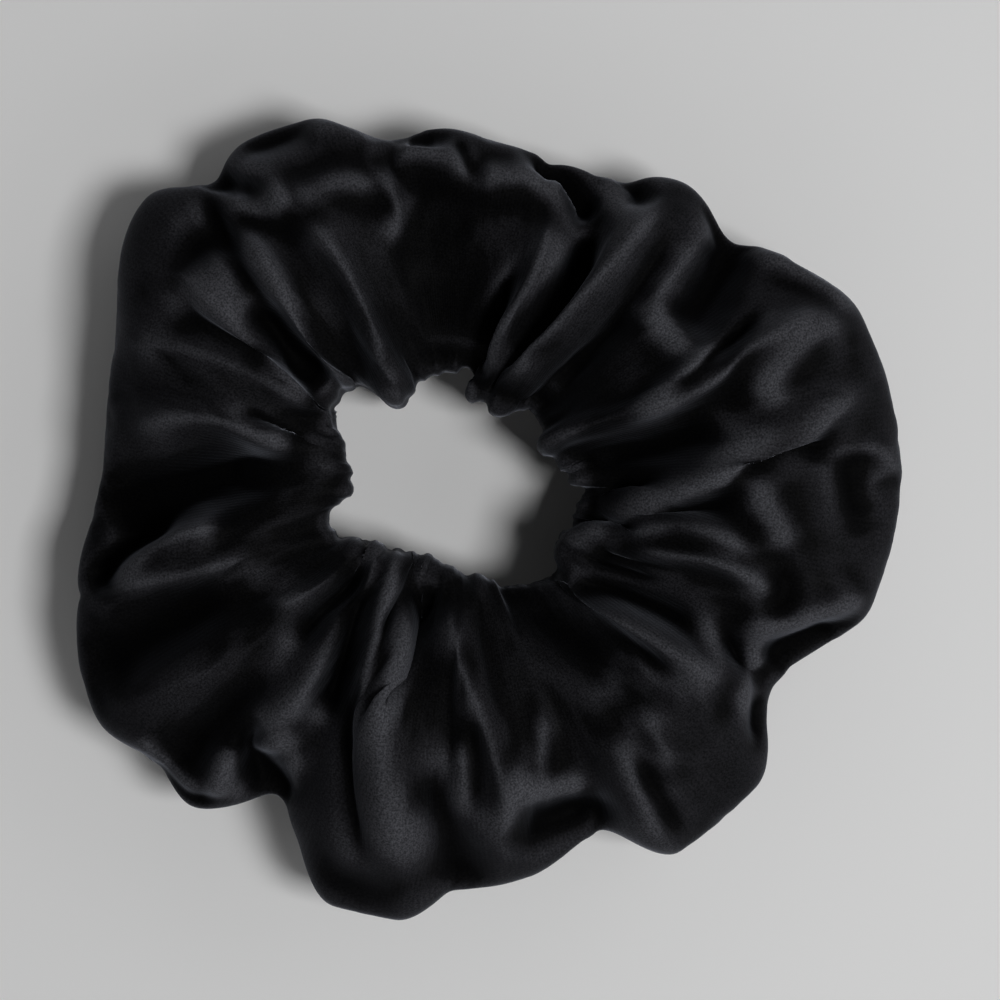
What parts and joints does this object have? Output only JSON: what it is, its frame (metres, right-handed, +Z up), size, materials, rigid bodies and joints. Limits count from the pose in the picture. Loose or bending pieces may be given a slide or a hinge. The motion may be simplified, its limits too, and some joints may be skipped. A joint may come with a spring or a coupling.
{
  "type": "scrunchie",
  "caption": "Gathered satin hair scrunchie: a puffed fabric tube closed into a ring round a woven elastic band, lying flat.",
  "frame": {"origin": "middle of the box on the surface that the scrunchie lies on", "axes": "+Z up out of the surface, +X to the right and +Y away in the view from above, +X along the ring's longest side and along its stretch"},
  "size_m": [0.1198, 0.116, 0.0246],
  "materials": {
    "satin": "black satin with a soft sheen",
    "elastic": "black woven elastic, matt and ribbed along its length",
    "thread": "black polyester sewing thread"
  },
  "bodies": {
    "left": {"cover_left": "satin", "elastic_band": "elastic", "elastic_join_stitches": "thread", "tube_seam_thread": "thread", "closing_seam_thread": "thread"},
    "right": {"cover_right": "satin"}
  },
  "joints": [
    {"name": "stretch", "type": "slide", "parent": "left", "child": "right", "axis": [1, 0, 0], "range_m": [0, 0.05], "stiffness_N_per_m": 80, "deforming": ["elastic_band", "elastic_join_stitches", "tube_seam_thread"]}
  ]
}
